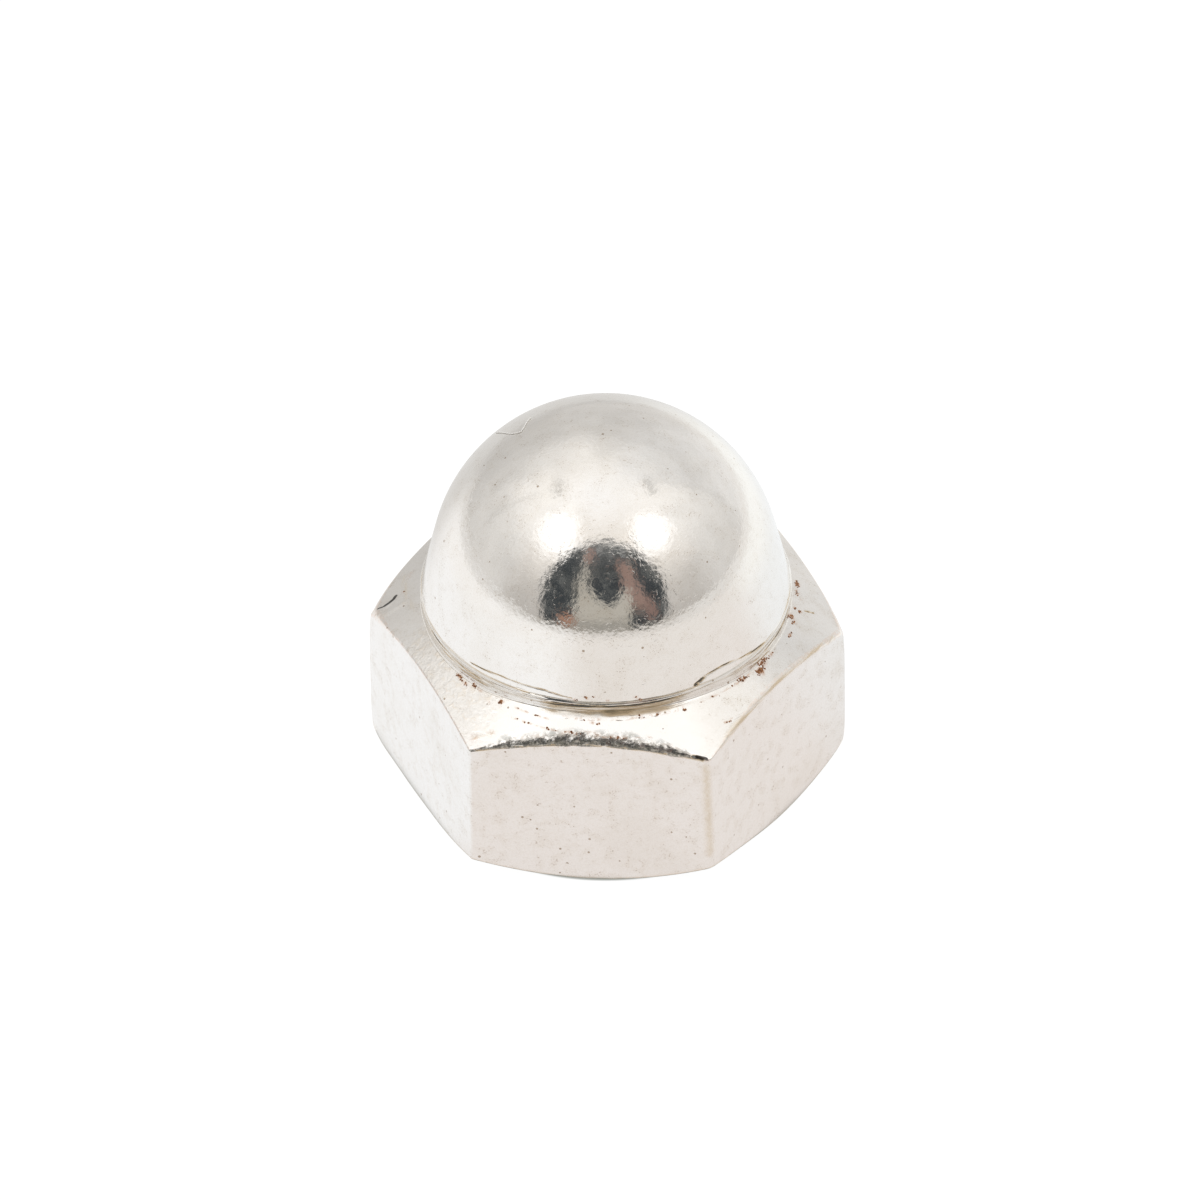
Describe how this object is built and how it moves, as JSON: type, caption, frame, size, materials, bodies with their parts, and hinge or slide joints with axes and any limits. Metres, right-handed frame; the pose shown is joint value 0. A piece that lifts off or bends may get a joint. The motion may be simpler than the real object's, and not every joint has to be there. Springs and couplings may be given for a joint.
{
  "type": "cap nut",
  "caption": "Domed hexagon cap nut with a blind threaded hole, which covers the end of a screw and holds it.",
  "frame": {"origin": "centre of the bearing face, on the axis of the thread", "axes": "+Z along the thread's axis, up through the dome; +X through two opposite corners of the hexagon; flats face +Y and -Y"},
  "size_m": [0.015, 0.013, 0.0128],
  "materials": {
    "bright_plating": "bright nickel plating on steel with a fine orange peel, specked and spotted with rust"
  },
  "bodies": {
    "root": {"cap_nut": "bright_plating"}
  },
  "joints": []
}
